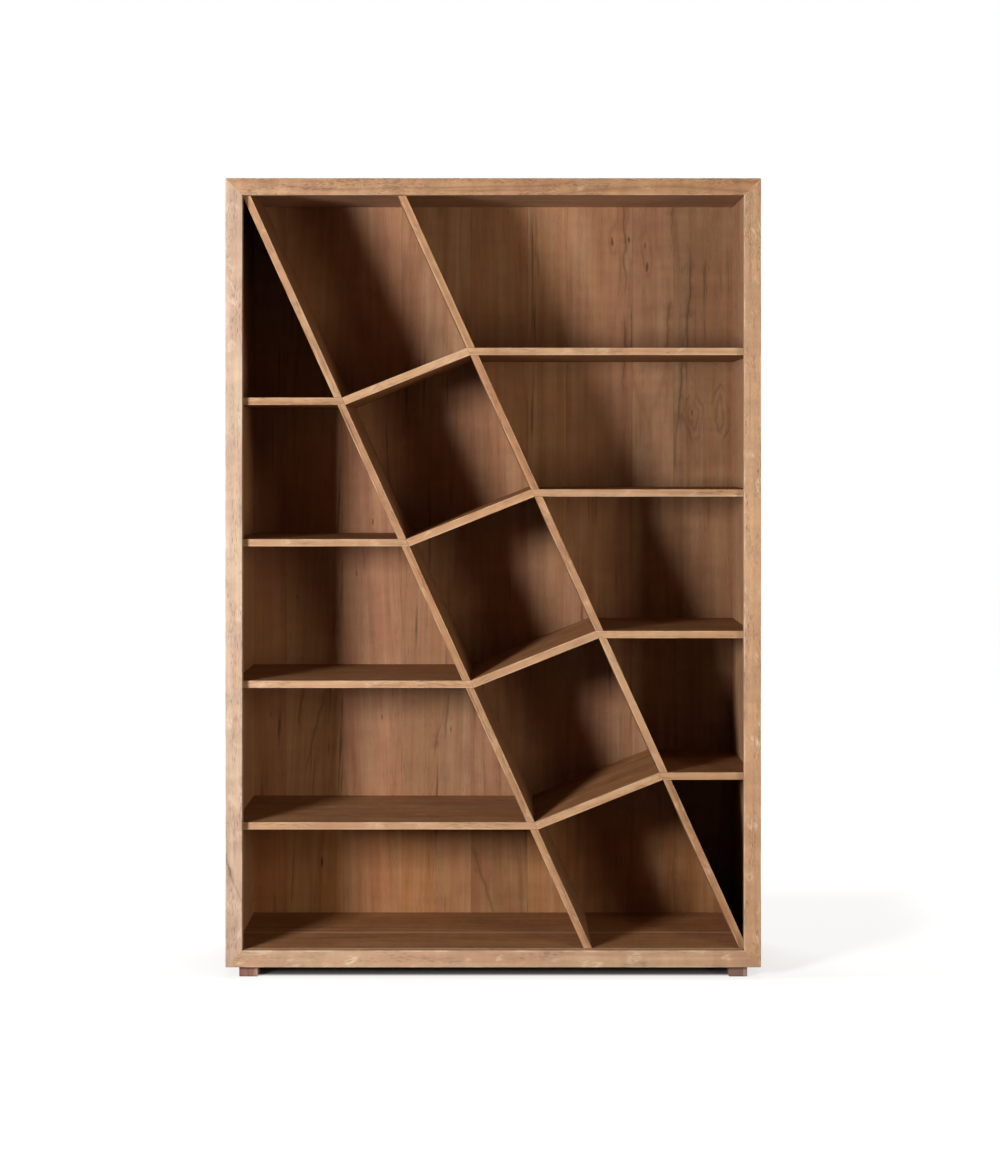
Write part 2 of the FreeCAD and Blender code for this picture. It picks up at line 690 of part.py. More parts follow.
fasteners = {
    "divider_dowels": [dowel for hand in SIGNS for row in dowels[hand] for dowel in row],
    "shelf_dowels": [dowel for row in joint_dowels.values() for dowel in row],
    "frame_dowels": [dowel for row in (*stile_dowels.values(), *rail_dowels.values()) for dowel in row],
    "frame_biscuits": list(biscuits.values()),
    "corner_splines": list(splines.values()),
    "back_screws": back_screws,
    "foot_screws": foot_screws,
}
for name, members in fasteners.items():
    pieces.append(group(name, members))

doc.recompute()

# Everything is checked before anything is written
for item in doc.Objects:
    if "Invalid" in item.State or "Error" in item.State:
        raise RuntimeError(f"{item.Label} could not be computed: {item.State}")
for piece in pieces:
    if piece.Shape.isNull() or not piece.Shape.isValid():
        raise RuntimeError(f"{piece.Label} has no valid shape")

os.makedirs("parts", exist_ok=True)
for piece in pieces:
    piece.Shape.exportStep(f"parts/{piece.Label}.step")
    print(piece.Label, len(piece.Shape.Solids), round(piece.Shape.Volume))
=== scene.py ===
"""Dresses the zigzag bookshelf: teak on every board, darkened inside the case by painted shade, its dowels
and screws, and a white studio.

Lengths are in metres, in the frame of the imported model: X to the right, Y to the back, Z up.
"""

import math
from collections import Counter
from dataclasses import dataclass
from typing import NamedTuple

import bpy
from mathutils import Matrix, Vector


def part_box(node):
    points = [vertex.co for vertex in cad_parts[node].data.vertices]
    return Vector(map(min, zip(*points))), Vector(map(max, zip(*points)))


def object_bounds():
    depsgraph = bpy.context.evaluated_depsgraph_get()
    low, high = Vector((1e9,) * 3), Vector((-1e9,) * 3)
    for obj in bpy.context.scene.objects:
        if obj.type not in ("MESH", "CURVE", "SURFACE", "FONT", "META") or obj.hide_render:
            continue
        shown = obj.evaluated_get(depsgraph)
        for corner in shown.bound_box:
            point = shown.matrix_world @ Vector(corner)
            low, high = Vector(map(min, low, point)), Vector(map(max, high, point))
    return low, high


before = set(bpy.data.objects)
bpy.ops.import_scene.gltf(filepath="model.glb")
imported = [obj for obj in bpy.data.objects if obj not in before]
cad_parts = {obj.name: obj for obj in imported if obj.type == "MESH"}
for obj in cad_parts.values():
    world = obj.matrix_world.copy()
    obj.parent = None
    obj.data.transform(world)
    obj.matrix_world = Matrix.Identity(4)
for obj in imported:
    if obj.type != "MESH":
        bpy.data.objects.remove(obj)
CAD_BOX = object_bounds()

bl_info = {
    "name": "Zigzag Bookshelf",
    "version": (1, 0, 0),
    "blender": (4, 5, 0),
    "location": "View3D > Sidebar > Bookshelf",
    "description": "Finishes the boards of a zigzag bookshelf and lights it in a white studio",
    "category": "Object",
}

# The feet and what holds the boards together

FEET = [f"{end}_{side}_foot" for end in ("front", "rear") for side in ("left", "right")]
WOODEN_JOINERY = ("frame_biscuits", "frame_dowels", "corner_splines", "divider_dowels", "shelf_dowels")
SCREWS = ("back_screws", "foot_screws")

# Where each group's seeds start, so that no two boards share a figure

FRAME_SEED = 1
CARCASS_SEED = 5
DIVIDER_SEED = 21
BACK_SEED = 31
FOOT_SEED = 41
SHELF_SEED = 61


def linear(red, green, blue):
    """Turns a colour written as 0 to 255 display values into the linear values that shaders use."""
    shares = [channel / 255 for channel in (red, green, blue)]
    return tuple(s / 12.92 if s <= 0.04045 else ((s + 0.055) / 1.055) ** 2.4 for s in shares)


# What a user would change


def colour_setting(name, description, red, green, blue):
    """A colour property whose default is written in display values."""
    return bpy.props.FloatVectorProperty(
        name=name, description=description, subtype="COLOR", min=0, max=1, default=linear(red, green, blue))


def number_setting(name, description, default, **kind):
    """A number property that isn't below 0."""
    return bpy.props.FloatProperty(name=name, description=description, min=0, default=default, **kind)


def length_setting(name, description, default):
    """A length property in metres."""
    return number_setting(name, description, default, subtype="DISTANCE", precision=5)


def place_setting(name, description, x, y, z):
    """A place in the frame of the model."""
    return bpy.props.FloatVectorProperty(
        name=name, description=description, subtype="TRANSLATION", default=(x, y, z))


def sheet_setting(name, description, width, height):
    """The width and height of a lamp's face."""
    return bpy.props.FloatVectorProperty(
        name=name, description=description, size=2, unit="LENGTH", default=(width, height))


class TeakSettings(bpy.types.PropertyGroup):
    """Colours and figure of the teak, and the painted shade inside the case."""

    pale: colour_setting("Pale wood", "Colour of the palest bands", 187, 154, 121)
    warm: colour_setting("Warm wood", "Colour of most of the wood", 172, 130, 93)
    rose: colour_setting("Rosy wood", "Colour of the boards that lean to red", 170, 123, 96)
    dark: colour_setting("Dark wood", "Colour of the late wood", 120, 79, 54)
    vein: colour_setting("Vein", "Colour of veins, knots and open pores", 58, 35, 25)
    worn: colour_setting("Worn wood", "Colour of rubbed arrises and scuffs", 206, 178, 151)
    # Painted shade: the tint that darkens the inside of the case
    oil: colour_setting("Oil", "Tint of the oil that darkens the inside", 176, 156, 150)
    ring_width: length_setting("Ring width", "Mean width of a growth ring", 0.009)
    relief: length_setting("Relief", "Depth of the grain relief", 0.0003)


class JoinerySettings(bpy.types.PropertyGroup):
    """Colours of the feet and of what holds the boards together."""

    foot: colour_setting("Foot", "Colour of the block feet", 126, 86, 74)
    foot_strip: colour_setting("Foot strip", "Colour of the paler strip glued to a foot", 164, 127, 110)
    dowel: colour_setting("Dowel", "Colour of dowels, biscuits and splines", 214, 184, 142)
    screw: colour_setting("Screw", "Colour of the zinc screws", 190, 186, 176)


class EdgeSettings(bpy.types.PropertyGroup):
    """How far the arrises of the boards are eased."""

    frame_ease: length_setting("Frame easing", "Easing of the face frame's arrises", 0.002)
    board_ease: length_setting("Board easing", "Easing of the other boards' arrises", 0.0012)
    back_ease: length_setting("Back easing", "Easing of the back boards' arrises", 0.0006)
    foot_ease: length_setting("Foot easing", "Easing of the feet's arrises", 0.0012)


class StudioSettings(bpy.types.PropertyGroup):
    """Camera, lamps and ground."""

    camera_place: place_setting("Camera place", "Where the camera stands", 0.0017, -4.616, 1.180)
    lens: bpy.props.FloatProperty(
        name="Lens", description="Focal length on a 36 mm long side", unit="CAMERA", min=1, default=61.45)
    shift: bpy.props.FloatVectorProperty(
        name="Shift", description="Lens shift, as a share of the picture's long side", size=2,
        default=(0.0052, -0.1095))
    key_place: place_setting("Key place", "Middle of the left softbox", -2.28, -2.89, 1.25)
    key_size: sheet_setting("Key size", "Size of the left softbox", 0.74, 0.78)
    key_power: number_setting("Key power", "Power of the left softbox", 182, unit="POWER")
    fill_place: place_setting("Fill place", "Middle of the right softbox", 2.32, -2.60, 0.98)
    fill_size: sheet_setting("Fill size", "Size of the right softbox", 0.88, 1.35)
    fill_power: number_setting("Fill power", "Power of the right softbox", 51, unit="POWER")
    fill_tint: colour_setting("Fill tint", "Colour of the right softbox's light", 255, 241, 210)
    rear_power: number_setting("Rear power", "Power of the lamp behind the case", 60, unit="POWER")
    side_power: number_setting("Side power", "Power of the lamp at the right of the case", 15, unit="POWER")
    room_level: number_setting(
        "Room light", "Level of the light from all round", 0.0015, subtype="FACTOR", max=1)
    floor_bounce: number_setting(
        "Floor bounce", "How much light the floor throws back", 0.155, subtype="FACTOR", max=1)


# Node trees

NODE_STEP = 190

# The mix node's sockets for colours

MIX_FIRST, MIX_SECOND, MIX_RESULT = 6, 7, 2


class Grain(NamedTuple):
    """A noise made into a mask: its swings a metre, where the mask starts and is full, and its detail."""

    swings: tuple
    low: float
    high: float
    detail: float = 2.0
    roughness: float = 0.5


class Sway(NamedTuple):
    """A noise that pushes to both sides: its swings a metre, how far it pushes, and its detail."""

    swings: tuple
    reach: float
    detail: float = 2.0


class Graph:
    """Adds nodes to one node tree, side by side, and links them."""

    def __init__(self, tree):
        self.tree = tree
        self.count = 0

    def add(self, kind, inputs=None, **settings):
        """Adds a node, sets its properties and feeds its inputs with values or sockets."""
        node = self.tree.nodes.new(kind)
        node.location = (self.count * NODE_STEP, 0)
        self.count += 1
        for name, value in settings.items():
            setattr(node, name, value)
        for socket, value in (inputs or {}).items():
            self.feed(node.inputs[socket], value)
        return node

    def feed(self, socket, value):
        """Links a socket to another, or sets its constant."""
        if isinstance(value, bpy.types.NodeSocket):
            self.tree.links.new(value, socket)
        else:
            socket.default_value = value

    def place(self):
        """Gives the place in the frame of the model."""
        return self.add("ShaderNodeTexCoord").outputs["Object"]

    def math(self, operation, result, *others):
        """Adds a number operation, and one more for each further number, from left to right."""
        for other in others or (0.0,):
            result = self.add("ShaderNodeMath", {0: result, 1: other}, operation=operation).outputs[0]
        return result

    def vector(self, operation, first, second=(0.0, 0.0, 0.0)):
        """Adds a vector operation that gives a vector."""
        return self.add("ShaderNodeVectorMath", {0: first, 1: second}, operation=operation).outputs[0]

    def length(self, vector):
        """Gives a vector's length."""
        return self.add("ShaderNodeVectorMath", {0: vector}, operation="LENGTH").outputs["Value"]

    def turn(self, vector, angle):
        """Turns a vector about Y."""
        inputs = {"Vector": vector, "Angle": angle}
        return self.add("ShaderNodeVectorRotate", inputs, rotation_type="Y_AXIS").outputs[0]

    def split(self, vector):
        """Takes a vector apart."""
        return self.add("ShaderNodeSeparateXYZ", {0: vector}).outputs

    def join(self, first, second, third):
        """Puts a vector together."""
        return self.add("ShaderNodeCombineXYZ", {0: first, 1: second, 2: third}).outputs[0]

    def noise(self, vector, swings, detail=2.0, roughness=0.5):
        """Adds a noise with so many swings a metre each way, which runs from about 0 to 1."""
        place = self.vector("MULTIPLY", vector, swings)
        inputs = {"Vector": place, "Scale": 1.0, "Detail": detail, "Roughness": roughness}
        return self.add("ShaderNodeTexNoise", inputs).outputs[0]

    def grain(self, vector, grain):
        """Adds a noise made into a mask."""
        noise = self.noise(vector, grain.swings, grain.detail, grain.roughness)
        return self.step(noise, grain.low, grain.high)

    def sway(self, vector, sway):
        """Adds a noise that pushes to both sides."""
        noise = self.noise(vector, sway.swings, sway.detail)
        return self.times(self.math("SUBTRACT", noise, 0.5), sway.reach)

    def step(self, value, low, high):
        """Rises smoothly from 0 to 1 while the value goes from low to high."""
        inputs = {"Value": value, "From Min": low, "From Max": high}
        return self.add("ShaderNodeMapRange", inputs, interpolation_type="SMOOTHSTEP").outputs[0]

    def fall(self, value, low, high):
        """Falls smoothly from 1 to 0 while the value goes from low to high."""
        return self.math("SUBTRACT", 1.0, self.step(value, low, high))

    def span(self, mask, low, high):
        """Carries a mask from 0 to 1 over to the numbers from low to high."""
        return self.add("ShaderNodeMapRange", {"Value": mask, "To Min": low, "To Max": high}).outputs[0]

    def times(self, *values):
        """Multiplies numbers."""
        return self.math("MULTIPLY", *values)

    def mix(self, mask, first, second, blend="MIX"):
        """Goes from one colour to another with a mask, or blends the second onto the first."""
        inputs = {0: mask}
        for socket, colour in ((MIX_FIRST, first), (MIX_SECOND, second)):
            is_linked = isinstance(colour, bpy.types.NodeSocket)
            inputs[socket] = colour if is_linked else (*colour, 1.0)
        return self.add("ShaderNodeMix", inputs, data_type="RGBA", blend_type=blend).outputs[MIX_RESULT]

    def shade(self, colour, saturation, level):
        """Changes a colour's saturation and level."""
        inputs = {"Color": colour, "Saturation": saturation, "Value": level}
        return self.add("ShaderNodeHueSaturation", inputs).outputs[0]

    def group(self, builder, **inputs):
        """Places a shared group, built the first time, with its inputs named in lower case."""
        tree = bpy.data.node_groups.get(builder.__name__) or builder()
        node = self.add("ShaderNodeGroup", node_tree=tree)
        for name, value in inputs.items():
            self.feed(node.inputs[name.replace("_", " ").title()], value)
        return node.outputs


def shared_group(name, vectors=(), numbers=(), results=(), vector_results=()):
    """Starts a shader group, and gives its graph, its inputs and what feeds a result."""
    tree = bpy.data.node_groups.new(name, "ShaderNodeTree")
    for direction, kind, sockets in (("INPUT", "Vector", ("Vector", *vectors)), ("INPUT", "Float", numbers),
                                     ("OUTPUT", "Float", results), ("OUTPUT", "Vector", vector_results)):
        for socket in sockets:
            tree.interface.new_socket(socket, in_out=direction, socket_type=f"NodeSocket{kind}")
    graph = Graph(tree)
    given = graph.add("NodeGroupInput").outputs
    outputs = tree.nodes.new("NodeGroupOutput").inputs
    return graph, given, lambda result, value: graph.feed(outputs[result], value)


SEED_STEP = (2.3, 1.7, 1.9)


def seeded(graph, given):
    """Moves a group's vector to its seed's own part of the noise."""
    seeds = graph.join(given["Seed"], given["Seed"], given["Seed"])
    return graph.vector("ADD", given["Vector"], graph.vector("MULTIPLY", seeds, SEED_STEP))


# The figure: swings along the grain, in depth and across

BANDS = Grain((0.6, 20, 20), 0.3, 0.7, detail=3)
STREAKS = Grain((1.6, 90, 90), 0.3, 0.72, detail=4, roughness=0.6)
BLUSH = Grain((5, 26, 26), 0.32, 0.68)
# Ripple: cross-grain bands, partly figure and partly a painted chatoyant sheen
RIPPLE = Grain((34, 12, 12), 0.3, 0.7)
MINERAL_LINES = Grain((3.5, 85, 85), 0.57, 0.74, detail=3)
MINERAL_PATCHES = Grain((3, 9, 9), 0.44, 0.62, detail=1)
PORES = Grain((55, 900, 900), 0.56, 0.68, detail=1)
PORE_CROWDS = Grain((10, 60, 60), 0.42, 0.6)
FLECKS = Grain((120, 420, 420), 0.48, 0.64)
LONE_FLECKS = 0.35

# The rings: where they show, how the heart wanders, and how far a noise pushes them

RING_PATCHES = Grain((0.8, 9, 9), 0.32, 0.68, detail=1)
HEART_SWAY = Sway((1.7, 4, 4), 0.09, detail=1.5)
RING_SWINGS = (3, 40, 40)
RING_PUSH = 1.2
RING_SHARPNESS = 3.0


def teak_figure():
    """Bands, growth rings, streaks and pores of a board whose grain runs along the vector's X."""
    graph, given, give = shared_group(
        "teak_figure", vectors=("Pith",), numbers=("Seed", "Ring Width", "Swell"),
        results=("Bands", "Rings", "Streaks", "Ripple", "Pores", "Flecks", "Blush", "Mineral"))
    place = seeded(graph, given)
    for output, grain in (("Bands", BANDS), ("Streaks", STREAKS), ("Blush", BLUSH), ("Ripple", RIPPLE)):
        give(output, graph.grain(place, grain))

    # The heart of the tree runs beside the board and wanders, so rings run out as long arches
    away = graph.split(graph.vector("SUBTRACT", given["Vector"], given["Pith"]))
    radius = graph.length(graph.join(0.0, away[1], away[2]))
    radius = graph.math("ADD", radius, graph.sway(place, HEART_SWAY), given["Swell"])
    turns = graph.math("DIVIDE", radius, given["Ring Width"])
    turns = graph.math("ADD", turns, graph.times(graph.noise(place, RING_SWINGS), RING_PUSH))
    late = graph.math("POWER", graph.math("PINGPONG", turns, 1.0), RING_SHARPNESS)
    give("Rings", graph.times(late, graph.grain(place, RING_PATCHES)))

    give("Mineral", graph.times(graph.grain(place, MINERAL_LINES), graph.grain(place, MINERAL_PATCHES)))
    crowds = graph.grain(place, PORE_CROWDS)
    give("Pores", graph.times(graph.grain(place, PORES), crowds))
    give("Flecks", graph.times(graph.grain(place, FLECKS), graph.span(crowds, LONE_FLECKS, 1.0)))
    return graph.tree


def box_depth():
    """How deep a point lies in a box, and on the box's face how far it lies from the nearest arris."""
    graph, given, give = shared_group("box_depth", vectors=("Half Size",), results=("Depth", "Arris"))
    inside = graph.vector("SUBTRACT", given["Half Size"], graph.vector("ABSOLUTE", given["Vector"]))
    x, y, z = graph.split(inside)
    low = graph.math("MINIMUM", x, y, z)
    high = graph.math("MAXIMUM", x, y, z)
    total = graph.math("ADD", x, y, z)
    give("Depth", low)
    give("Arris", graph.math("SUBTRACT", total, low, high))
    return graph.tree


# Where the count of staves starts, and where a seam is full and ends, in seam widths

FIRST_STAVE = 100.0
STAVE_SEAM = (0.2, 1.0)


def glued_staves():
    """Splits a wide board across its depth into glued staves, each with its own tone and figure."""
    graph, given, give = shared_group(
        "glued_staves", numbers=("Stave Width", "First Seam", "Seam Width", "Seed"),
        results=("Tone", "Seam"), vector_results=("Shift",))
    depth = graph.math("SUBTRACT", graph.split(given["Vector"])[1], given["First Seam"])
    counted = graph.math("ADD", graph.math("DIVIDE", depth, given["Stave Width"]), FIRST_STAVE)
    number = graph.math("FLOOR", counted)
    stave = graph.join(number, given["Seed"], 0.0)
    throw = graph.add("ShaderNodeTexWhiteNoise", {"Vector": stave}).outputs
    part = graph.math("FRACT", counted)
    beside = graph.math("MINIMUM", part, graph.math("SUBTRACT", 1.0, part))
    beside = graph.times(beside, given["Stave Width"])
    give("Tone", throw["Value"])
    give("Shift", throw["Color"])
    give("Seam", graph.fall(graph.math("DIVIDE", beside, given["Seam Width"]), *STAVE_SEAM))
    return graph.tree


# Veins: how they sway, fade and swell, their line and halo in widths, and their ends

VEIN_SLOW_SWAY = Sway((3, 3, 3), 0.014, detail=1)
VEIN_QUICK_SWAY = Sway((17, 5, 5), 0.024)
VEIN_FADES = Grain((5, 1, 1), 0.28, 0.48)
VEIN_BEADS = Grain((26, 4, 4), 0.5, 0.72, detail=1)
VEIN_SWELL = (0.7, 1.9)
VEIN_LINE = (0.1, 1.0)
VEIN_HALO = (0.4, 3.0)
VEIN_HALO_DEPTH = 0.42
VEIN_ENDS = (0.5, 1.0)


def dark_vein():
    """A thin dark mineral vein with a soft halo, that wanders along the grain and comes and goes."""
    graph, given, give = shared_group(
        "dark_vein", numbers=("Seed", "Place", "Slant", "Width", "Middle", "Reach"), results=("Mask",))
    place = seeded(graph, given)
    along, _, across = graph.split(given["Vector"])
    sway = graph.math("ADD", graph.sway(place, VEIN_SLOW_SWAY), graph.sway(place, VEIN_QUICK_SWAY))
    path = graph.math("ADD", given["Place"], graph.times(along, given["Slant"]))
    offset = graph.math("ABSOLUTE", graph.math("ADD", graph.math("SUBTRACT", across, path), sway))
    width = graph.times(given["Width"], graph.span(graph.grain(place, VEIN_BEADS), *VEIN_SWELL))
    widths = graph.math("DIVIDE", offset, width)
    halo = graph.times(graph.fall(widths, *VEIN_HALO), VEIN_HALO_DEPTH)
    line = graph.math("MAXIMUM", graph.fall(widths, *VEIN_LINE), halo)
    away = graph.math("ABSOLUTE", graph.math("SUBTRACT", along, given["Middle"]))
    ends = graph.fall(graph.math("DIVIDE", away, given["Reach"]), *VEIN_ENDS)
    give("Mask", graph.times(line, graph.grain(place, VEIN_FADES), ends))
    return graph.tree


# Ovals: how they sway and fade, how many lines one has, and where the outermost ends

OVAL_SIDEWAYS = Sway((38, 38, 20), 0.03, detail=3)
OVAL_UPWARD = Sway((30, 30, 12), 0.07, detail=1)
OVAL_FADES = Grain((34, 34, 16), 0.36, 0.6)
OVAL_LINES = 3.0
OVAL_SHARPNESS = 1.8
OVAL_ENDS = (1.05, 1.45)


def pointed_oval():
    """Nested pointed ovals, drawn out along Z, as a flat cut shows over a bulge in the rings."""
    graph, given, give = shared_group("pointed_oval", vectors=("Place", "Half Size"), results=("Mask",))
    place = given["Vector"]
    sway = graph.join(graph.sway(place, OVAL_SIDEWAYS), 0.0, graph.sway(place, OVAL_UPWARD))
    away = graph.vector("ADD", graph.vector("SUBTRACT", place, given["Place"]), sway)
    x, _, z = graph.split(graph.vector("ABSOLUTE", graph.vector("DIVIDE", away, given["Half Size"])))
    level = graph.math("ADD", x, graph.times(z, z))
    line = graph.math("PINGPONG", graph.times(level, OVAL_LINES), 1.0)
    line = graph.math("POWER", line, OVAL_SHARPNESS)
    give("Mask", graph.times(line, graph.grain(place, OVAL_FADES), graph.fall(level, *OVAL_ENDS)))
    return graph.tree


# Knots: how ragged and long one is, where its core ends, and how far it pushes, in sizes

KNOT_SWAY = Sway((160, 160, 60), 0.9)
KNOT_STRETCH = 3.2
KNOT_CORE = (0.35, 1.0)
KNOT_SPREAD = 5.0
KNOT_PUSH = 3.0


def small_knot():
    """A small dark knot drawn out along Z, and how far it pushes the rings aside."""
    graph, given, give = shared_group(
        "small_knot", vectors=("Place",), numbers=("Size",), results=("Core", "Swell"))
    size = given["Size"]
    away = graph.vector("SUBTRACT", given["Vector"], given["Place"])
    away = graph.vector("DIVIDE", away, graph.join(size, 1.0, graph.times(size, KNOT_STRETCH)))
    reach = graph.math("ADD", graph.length(away), graph.sway(given["Vector"], KNOT_SWAY))
    give("Core", graph.fall(reach, *KNOT_CORE))
    give("Swell", graph.times(graph.fall(reach, 0.0, KNOT_SPREAD), size, KNOT_PUSH))
    return graph.tree


SCRATCH_LEAN = math.radians(14)
SCRATCHES = Grain((55, 190, 190), 0.36, 0.70, detail=3)
SCRATCH_CROWDS = Grain((20, 34, 34), 0.56, 0.70, detail=1)


def worn_flecks():
    """Small pale scuffs and scratches across the grain."""
    graph, given, give = shared_group("worn_flecks", numbers=("Seed",), results=("Mask",))
    place = graph.turn(seeded(graph, given), SCRATCH_LEAN)
    give("Mask", graph.times(graph.grain(place, SCRATCHES), graph.grain(place, SCRATCH_CROWDS)))
    return graph.tree


# Boards

SHORTEST_ARRIS = 0.005
SMALLEST_ARRIS_ANGLE = math.radians(30)
WELD_REACH = 0.00001
MITRE_PLAY = 0.02
EASE_SEGMENTS = 2


def modifier_group(name):
    """Starts a modifier tree, and gives its graph, the mesh that comes in and the one that goes out."""
    tree = bpy.data.node_groups.new(name, "GeometryNodeTree")
    tree.is_modifier = True
    for direction in ("INPUT", "OUTPUT"):
        tree.interface.new_socket("Geometry", in_out=direction, socket_type="NodeSocketGeometry")
    graph = Graph(tree)
    given = graph.add("NodeGroupInput").outputs["Geometry"]
    return graph, given, tree.nodes.new("NodeGroupOutput").inputs["Geometry"]


def mark_long_arrises():
    """Modifier tree that marks a board's long outward arrises, but no bores, grooves and mitres."""
    graph, given, result = modifier_group("mark_long_arrises")
    ends = graph.add("GeometryNodeInputMeshEdgeVertices").outputs
    run = graph.vector("SUBTRACT", ends["Position 1"], ends["Position 2"])
    length = graph.length(run)
    x, _, z = graph.split(graph.vector("ABSOLUTE", run))
    from_mitre = graph.math("ABSOLUTE", graph.math("SUBTRACT", x, z))
    is_square = graph.math("GREATER_THAN", graph.math("DIVIDE", from_mitre, length), MITRE_PLAY)
    in_depth = graph.math("LESS_THAN", graph.math("ADD", x, z), WELD_REACH)
    angle = graph.add("GeometryNodeInputMeshEdgeAngle").outputs["Signed Angle"]
    is_long = graph.math("GREATER_THAN", length, SHORTEST_ARRIS)
    is_outward = graph.math("GREATER_THAN", angle, SMALLEST_ARRIS_ANGLE)
    weight = graph.times(is_long, is_outward, graph.math("MAXIMUM", is_square, in_depth))
    inputs = {"Geometry": given, "Name": "bevel_weight_edge", "Value": weight}
    marked = graph.add("GeometryNodeStoreNamedAttribute", inputs, data_type="FLOAT", domain="EDGE")
    graph.feed(result, marked.outputs[0])
    return graph.tree


def flat_faces():
    """Modifier tree that shades faces flat."""
    graph, given, result = modifier_group("flat_faces")
    flat = graph.add("GeometryNodeSetShadeSmooth", {"Geometry": given, "Shade Smooth": False}).outputs[0]
    graph.feed(result, flat)
    return graph.tree


def add_group(node, builder):
    """Gives a node a modifier tree, built the first time."""
    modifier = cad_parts[node].modifiers.new(builder.__name__, "NODES")
    modifier.node_group = bpy.data.node_groups.get(builder.__name__) or builder()


def close(node):
    """Joins the faces of a piece into closed shells."""
    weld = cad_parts[node].modifiers.new("close_faces", "WELD")
    weld.merge_threshold = WELD_REACH
    add_group(node, flat_faces)


def ease(node, width):
    """Eases the long arrises of a board with modifiers."""
    close(node)
    add_group(node, mark_long_arrises)
    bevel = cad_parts[node].modifiers.new("eased_arrises", "BEVEL")
    bevel.limit_method = "WEIGHT"
    bevel.width = width
    bevel.segments = EASE_SEGMENTS
    bevel.use_clamp_overlap = False


def grain_turn(node):
    """The angle of a board's grain about Y: the way of its longest arris square to the depth."""
    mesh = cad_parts[node].data
    uses = Counter(key for face in mesh.polygons for key in face.edge_keys)
    longest = Vector((0, 0, 0))
    for (first, second), count in uses.items():
        run = mesh.vertices[second].co - mesh.vertices[first].co
        if count == 1 and abs(run.y) < WELD_REACH and run.length > longest.length:
            longest = run
    if longest.z < -WELD_REACH or (abs(longest.z) < WELD_REACH and longest.x < 0):
        longest = -longest
    return math.atan2(longest.z, longest.x)


def half_size(node, centre, turn):
    """Half of a board's size along the grain, in depth and across, about its centre."""
    turned = Matrix.Rotation(turn, 3, "Y")
    places = [turned @ (vertex.co - centre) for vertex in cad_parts[node].data.vertices]
    return tuple(max(abs(place[axis]) for place in places) for axis in range(3))


def case_inside():
    """Lowest and highest corner of the space inside the case, past the eased front arrises."""
    eased = bpy.context.scene.bookshelf_edges.board_ease
    low = Vector((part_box("left_side")[1].x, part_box("bottom_panel")[0].y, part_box("bottom_panel")[1].z))
    high = Vector((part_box("right_side")[0].x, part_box("back_board_1")[0].y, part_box("top_panel")[0].z))
    return low - Vector((eased, -eased, eased)), high + Vector((eased, eased, eased))


def dress(node, material):
    """Puts a material on the whole of a node."""
    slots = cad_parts[node].data.materials
    slots.clear()
    slots.append(material)


def new_graph(name):
    """Starts a material and gives it with its empty graph."""
    material = bpy.data.materials.new(name)
    material.use_nodes = True
    material.node_tree.nodes.clear()
    return material, Graph(material.node_tree)


BUMP_STRENGTH = 0.7


def finish_shader(graph, colour, rough, height, relief, specular):
    """Ends a material's graph with its bump, shader and output."""
    raised = {"Strength": BUMP_STRENGTH, "Distance": relief, "Height": height}
    bump = graph.add("ShaderNodeBump", raised).outputs[0]
    surface = {"Base Color": colour, "Roughness": rough, "Normal": bump, "Specular IOR Level": specular}
    shader = graph.add("ShaderNodeBsdfPrincipled", surface)
    graph.add("ShaderNodeOutputMaterial", {"Surface": shader.outputs[0]})
    return shader


# Looks of the boards, and where the heart of the tree lay: along the grain, in depth and across

HEART_BEHIND = (0.0, 0.075, 0.012)
HEART_BESIDE = (0.0, 0.04, 0.06)
HEART_ASKEW = (0.0, 0.05, 0.05)


class Vein(NamedTuple):
    """A dark vein: its middle in the case, half its length, its lean, half its width, how dark it is."""

    x: float
    z: float
    reach: float
    slope: float = 0.0
    width: float = 0.003
    depth: float = 0.5


class Knot(NamedTuple):
    """A small knot: its middle in the case, half its width, how dark it is."""

    x: float
    z: float
    size: float = 0.003
    depth: float = 0.5


class Oval(NamedTuple):
    """Nested ovals: their middle in the case, half their width and half their height."""

    x: float
    z: float
    width: float
    height: float


@dataclass
class Look:
    """What sets one board's teak apart from the next one's."""

    seed: int

    # From pale to warm, from plain to rosy, and how far both swing
    tone: float = 0.5
    bands: float = 0.8
    rosy: float = 0.3
    blush: float = 0.3

    # How strongly each part of the figure shows
    rings: float = 0.35
    streaks: float = 0.28
    # The ripple is partly figure and partly a painted sheen
    ripple: float = 0.05
    pores: float = 0.35
    flecks: float = 0.1
    mineral: float = 0.3
    wear: float = 0.0
    # How strongly the painted shade darkens the inside of the case
    oil: float = 1.0

    # The heart, the lean of the grain in degrees, and the glued staves
    pith: tuple = HEART_BEHIND
    lean: float = 0.0
    stave_width: float = 0.0
    first_seam: float = -0.06
    seam_width: float = 0.001
    seam_depth: float = 0.35
    pale_seam: bool = False

    # The whole, and the painted shade's saturation inside the case and its level and saturation low down
    level: float = 1.0
    saturation: float = 1.0
    specular: float = 0.04
    inside_saturation: float = 1.0
    low_level: float = 1.0
    low_saturation: float = 1.0

    veins: tuple = ()
    knots: tuple = ()
    ovals: tuple = ()


